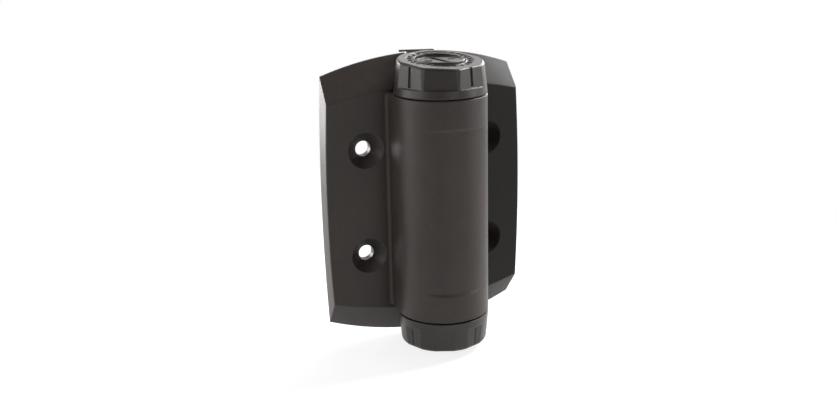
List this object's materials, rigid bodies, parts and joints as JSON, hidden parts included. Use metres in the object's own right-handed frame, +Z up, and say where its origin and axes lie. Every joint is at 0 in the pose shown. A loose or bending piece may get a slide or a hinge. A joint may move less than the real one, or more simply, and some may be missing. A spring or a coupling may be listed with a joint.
{
  "type": "self-closing gate hinge",
  "caption": "Surface-mounted self-closing gate hinge: two bevelled leaves on a spring barrel with faceted end caps and a push-and-turn tension dial.",
  "frame": {"origin": "centre of the post leaf's two screw holes, on the leaf's back (wall) face", "axes": "+Z up along the hinge axis; +Y out of the post leaf's back, into the post; -Y the front; +X from the post leaf towards the gate leaf"},
  "size_m": [0.0894, 0.0467, 0.1242],
  "materials": {
    "post_nylon": "satin glass-filled nylon, warm near-black",
    "gate_nylon": "satin glass-filled nylon, warm near-black",
    "cap_nylon": "satin nylon, slightly smoother than the leaves",
    "dial_nylon": "satin",
    "inner_nylon": "satin",
    "bush": "natural acetal",
    "pin_steel": "turned stainless steel",
    "spring_steel": "stainless spring wire",
    "seal": "nitrile rubber"
  },
  "bodies": {
    "post": {"post_leaf": "post_nylon", "top_bush": "bush", "bottom_bush": "bush", "spring_anchor": "inner_nylon", "torsion_spring": "spring_steel"},
    "gate": {"gate_leaf": "gate_nylon", "top_cap": "cap_nylon", "bottom_cap": "cap_nylon", "lock_sleeve": "inner_nylon", "bottom_pivot_pin": "pin_steel", "top_thrust_washer": "bush", "bottom_thrust_washer": "bush"},
    "driver": {"spring_driver": "inner_nylon", "driver_washer": "bush", "driver_circlip": "spring_steel", "return_spring": "spring_steel"},
    "dial": {"adjuster_dial": "dial_nylon", "dial_o_ring": "seal"}
  },
  "joints": [
    {"name": "gate_swing", "type": "hinge", "parent": "post", "child": "gate", "pos_m": [0.0287, -0.02, 0], "axis": [0, 0, -1], "range_deg": [0, 180], "stiffness_Nm_per_rad": 0.8, "springref_deg": -68.75, "deforming": ["torsion_spring"]},
    {"name": "dial_turn", "type": "hinge", "parent": "gate", "child": "driver", "pos_m": [0.0287, -0.02, 0], "axis": [0, 0, -1], "range_deg": [0, 180]},
    {"name": "dial_press", "type": "slide", "parent": "driver", "child": "dial", "axis": [0, 0, -1], "range_m": [0, 0.0042], "stiffness_N_per_m": 2000, "springref_m": -0.002, "deforming": ["return_spring"]}
  ]
}
